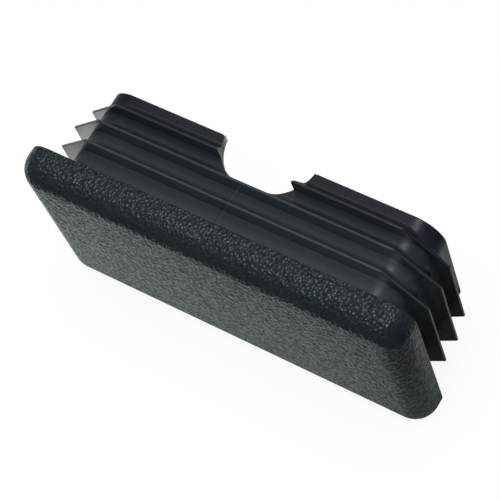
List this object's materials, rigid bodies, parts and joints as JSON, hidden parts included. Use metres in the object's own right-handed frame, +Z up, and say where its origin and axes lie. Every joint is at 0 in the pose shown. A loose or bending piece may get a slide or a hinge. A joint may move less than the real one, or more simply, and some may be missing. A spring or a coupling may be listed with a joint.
{
  "type": "tube end cap",
  "caption": "Push-in end cap for rectangular tube: a pillow-edged head that closes the tube, and a hollow skirt with flexible ribs that grip its bore.",
  "frame": {"origin": "middle of the footprint, on the surface that the cap lies on with one long side of its head", "axes": "+X along the long side, +Y from the head's outer face to the skirt's open end, which is the way into the tube, +Z up across the short side"},
  "size_m": [0.06, 0.0182, 0.03],
  "materials": {
    "end_cap": "black moulded plastic: spark-eroded grain on the head, satin on the skirt and ribs"
  },
  "bodies": {
    "root": {"end_cap": "end_cap"}
  },
  "joints": []
}
